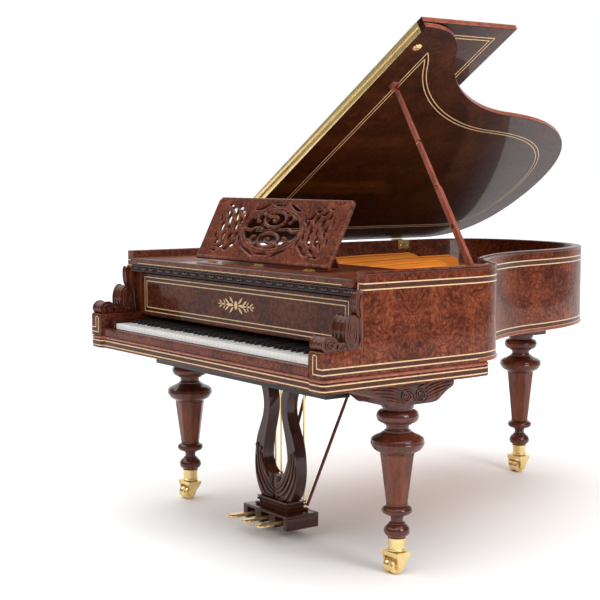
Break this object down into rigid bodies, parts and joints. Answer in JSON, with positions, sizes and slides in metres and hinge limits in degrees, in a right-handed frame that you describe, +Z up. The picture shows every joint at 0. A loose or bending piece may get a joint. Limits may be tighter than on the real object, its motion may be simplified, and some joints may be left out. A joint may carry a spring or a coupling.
{
  "type": "grand piano",
  "caption": "Full-size grand piano in glossy burl veneer with propped lid, folded front flap, fretwork music desk, carved arms, turned legs on brass casters and pedal lyre",
  "frame": {"origin": "Centre of the bounding box on the floor, lid open", "axes": "+X towards the treble end of the keyboard (player's right), +Y from the keyboard towards the tail, +Z up"},
  "size_m": [1.5074, 2.045, 1.8301],
  "materials": {
    "burl_veneer": "high-gloss french polished burl veneer with maple lines",
    "dark_wood": "high-gloss dark turned and carved wood",
    "red_wood": "satin red-brown wood",
    "black_wood": "satin black wood",
    "spruce": "satin varnished spruce",
    "brass_polished": "polished brass",
    "gilt_iron": "gold bronze painted cast iron",
    "ivory_keys": "smooth ivory-white key covers",
    "ebony_keys": "satin black sharps",
    "damper_felt": "black felt heads on a rail"
  },
  "bodies": {
    "case": {"arm_bass": "burl_veneer", "arm_treble": "burl_veneer", "back_frame": "spruce", "base_moulding": "burl_veneer", "bass_bridge": "spruce", "case_rim": "burl_veneer", "ferrule_bass": "brass_polished", "ferrule_rear": "brass_polished", "ferrule_treble": "brass_polished", "iron_plate": "gilt_iron", "key_block_bass": "dark_wood", "key_block_treble": "dark_wood", "key_slip": "burl_veneer", "keybed": "dark_wood", "leg_bass": "dark_wood", "leg_block_rear": "dark_wood", "leg_bracket_bass": "dark_wood", "leg_bracket_treble": "dark_wood", "leg_rear": "dark_wood", "leg_treble": "dark_wood", "lyre_brace_bass": "dark_wood", "lyre_brace_treble": "dark_wood", "lyre_pillars": "dark_wood", "name_rail": "dark_wood", "pedal_box": "dark_wood", "pin_block": "dark_wood", "prop_bracket": "brass_polished", "rim_butt_front": "brass_polished", "rim_butt_rear": "brass_polished", "soundboard": "spruce", "treble_bridge": "spruce", "underframe_board": "black_wood"},
    "key_action": {"key_frame": "spruce", "action_stack": "spruce"},
    "white_key_set": {"white_keys": "ivory_keys"},
    "black_key_set": {"black_keys": "ebony_keys"},
    "dampers": {"damper_rail": "damper_felt"},
    "fallboard": {"fallboard": "burl_veneer"},
    "music_shelf": {"music_shelf": "burl_veneer"},
    "music_desk": {"music_desk": "burl_veneer"},
    "desk_strut": {"desk_strut": "red_wood"},
    "lid": {"main_lid": "burl_veneer", "lid_hinge_leaf": "brass_polished", "prop_cup": "red_wood", "lid_catch": "brass_polished"},
    "lid_flap": {"front_flap": "burl_veneer", "flap_hinge_leaf": "brass_polished"},
    "prop": {"prop_stick": "red_wood"},
    "pedal_soft": {"pedal_soft": "brass_polished"},
    "rod_soft": {"pedal_rod_soft": "brass_polished"},
    "pedal_middle": {"pedal_middle": "brass_polished"},
    "rod_middle": {"pedal_rod_middle": "brass_polished"},
    "pedal_sustain": {"pedal_sustain": "brass_polished"},
    "rod_sustain": {"pedal_rod_sustain": "brass_polished"},
    "caster_treble": {"caster_fork_treble": "brass_polished"},
    "wheel_treble": {"caster_wheel_treble": "brass_polished"},
    "caster_bass": {"caster_fork_bass": "brass_polished"},
    "wheel_bass": {"caster_wheel_bass": "brass_polished"},
    "caster_rear": {"caster_fork_rear": "brass_polished"},
    "wheel_rear": {"caster_wheel_rear": "brass_polished"}
  },
  "joints": [
    {"name": "lid_hinge", "type": "hinge", "parent": "case", "child": "lid", "pos_m": [-0.73228, 0.0775, 1.006], "axis": [0, 1, 0], "range_deg": [0, 31.9]},
    {"name": "prop_hinge", "type": "hinge", "parent": "case", "child": "prop", "pos_m": [0.66172, -0.3175, 0.975], "axis": [0, -1, 0], "range_deg": [0, 60.6]},
    {"name": "flap_hinge", "type": "hinge", "parent": "lid", "child": "lid_flap", "pos_m": [-0.11359, -0.4175, 1.41996], "axis": [0.849, 0, 0.5284], "range_deg": [0, 180]},
    {"name": "fallboard_hinge", "type": "hinge", "parent": "case", "child": "fallboard", "pos_m": [0.01172, -0.8305, 0.765], "axis": [1, 0, 0], "range_deg": [0, 90]},
    {"name": "shelf_slide", "type": "slide", "parent": "case", "child": "music_shelf", "axis": [0, 1, 0], "range_m": [0, 0.04]},
    {"name": "desk_hinge", "type": "hinge", "parent": "music_shelf", "child": "music_desk", "pos_m": [0.01172, -0.7375, 0.982], "axis": [-1, 0, 0], "range_deg": [0, 63]},
    {"name": "desk_strut_hinge", "type": "hinge", "parent": "music_desk", "child": "desk_strut", "pos_m": [0.01172, -0.67394, 1.10674], "axis": [1, 0, 0], "range_deg": [0, 126.1]},
    {"name": "key_shift", "type": "slide", "parent": "case", "child": "key_action", "axis": [1, 0, 0], "range_m": [0, 0.003], "stiffness_N_per_m": 4000, "springref_m": -0.0015},
    {"name": "white_key_hinge", "type": "hinge", "parent": "key_action", "child": "white_key_set", "pos_m": [0.01172, -0.7325, 0.716], "axis": [1, 0, 0], "range_deg": [0, 1.8], "stiffness_Nm_per_rad": 190, "springref_deg": -2.86},
    {"name": "black_key_hinge", "type": "hinge", "parent": "key_action", "child": "black_key_set", "pos_m": [0.01172, -0.7325, 0.742], "axis": [1, 0, 0], "range_deg": [0, 1.8], "stiffness_Nm_per_rad": 26, "springref_deg": -2.86},
    {"name": "pedal_soft_hinge", "type": "hinge", "parent": "case", "child": "pedal_soft", "pos_m": [-0.07628, -0.6725, 0.062], "axis": [1, 0, 0], "range_deg": [0, 5.1]},
    {"name": "rod_soft_slide", "type": "slide", "parent": "case", "child": "rod_soft", "axis": [0, 0, 1], "range_m": [0, 0.0062]},
    {"name": "pedal_middle_hinge", "type": "hinge", "parent": "case", "child": "pedal_middle", "pos_m": [0.01172, -0.6725, 0.062], "axis": [1, 0, 0], "range_deg": [0, 5], "stiffness_Nm_per_rad": 40, "springref_deg": -2.86},
    {"name": "rod_middle_slide", "type": "slide", "parent": "case", "child": "rod_middle", "axis": [0, 0, 1], "range_m": [0, 0.0062]},
    {"name": "pedal_sustain_hinge", "type": "hinge", "parent": "case", "child": "pedal_sustain", "pos_m": [0.09972, -0.6725, 0.062], "axis": [1, 0, 0], "range_deg": [0, 5], "stiffness_Nm_per_rad": 40, "springref_deg": -2.86},
    {"name": "rod_sustain_slide", "type": "slide", "parent": "case", "child": "rod_sustain", "axis": [0, 0, 1], "range_m": [0, 0.0062]},
    {"name": "damper_slide", "type": "slide", "parent": "case", "child": "dampers", "axis": [0, 0, 1], "range_m": [0, 0.0062]},
    {"name": "swivel_treble", "type": "hinge", "parent": "case", "child": "caster_treble", "pos_m": [0.65072, -0.6365, 0.07], "axis": [0, 0, 1], "continuous": true},
    {"name": "roll_treble", "type": "hinge", "parent": "caster_treble", "child": "wheel_treble", "pos_m": [0.65072, -0.6525, 0.025], "axis": [1, 0, 0], "continuous": true},
    {"name": "swivel_bass", "type": "hinge", "parent": "case", "child": "caster_bass", "pos_m": [-0.62728, -0.6365, 0.07], "axis": [0, 0, 1], "continuous": true},
    {"name": "roll_bass", "type": "hinge", "parent": "caster_bass", "child": "wheel_bass", "pos_m": [-0.62728, -0.6525, 0.025], "axis": [1, 0, 0], "continuous": true},
    {"name": "swivel_rear", "type": "hinge", "parent": "case", "child": "caster_rear", "pos_m": [-0.18928, 0.7885, 0.07], "axis": [0, 0, 1], "continuous": true},
    {"name": "roll_rear", "type": "hinge", "parent": "caster_rear", "child": "wheel_rear", "pos_m": [-0.18928, 0.7725, 0.025], "axis": [1, 0, 0], "continuous": true}
  ],
  "couplings": [
    {"joint": "prop_hinge", "follows": "lid_hinge", "ratio": 1.897},
    {"joint": "desk_strut_hinge", "follows": "desk_hinge", "ratio": 2},
    {"joint": "pedal_soft_hinge", "follows": "key_shift", "rad_per_m": 29.089},
    {"joint": "rod_soft_slide", "follows": "key_shift", "ratio": 1.92},
    {"joint": "rod_middle_slide", "follows": "pedal_middle_hinge", "m_per_rad": 0.027},
    {"joint": "rod_sustain_slide", "follows": "pedal_sustain_hinge", "m_per_rad": 0.066},
    {"joint": "damper_slide", "follows": "pedal_sustain_hinge", "m_per_rad": 0.06875}
  ]
}
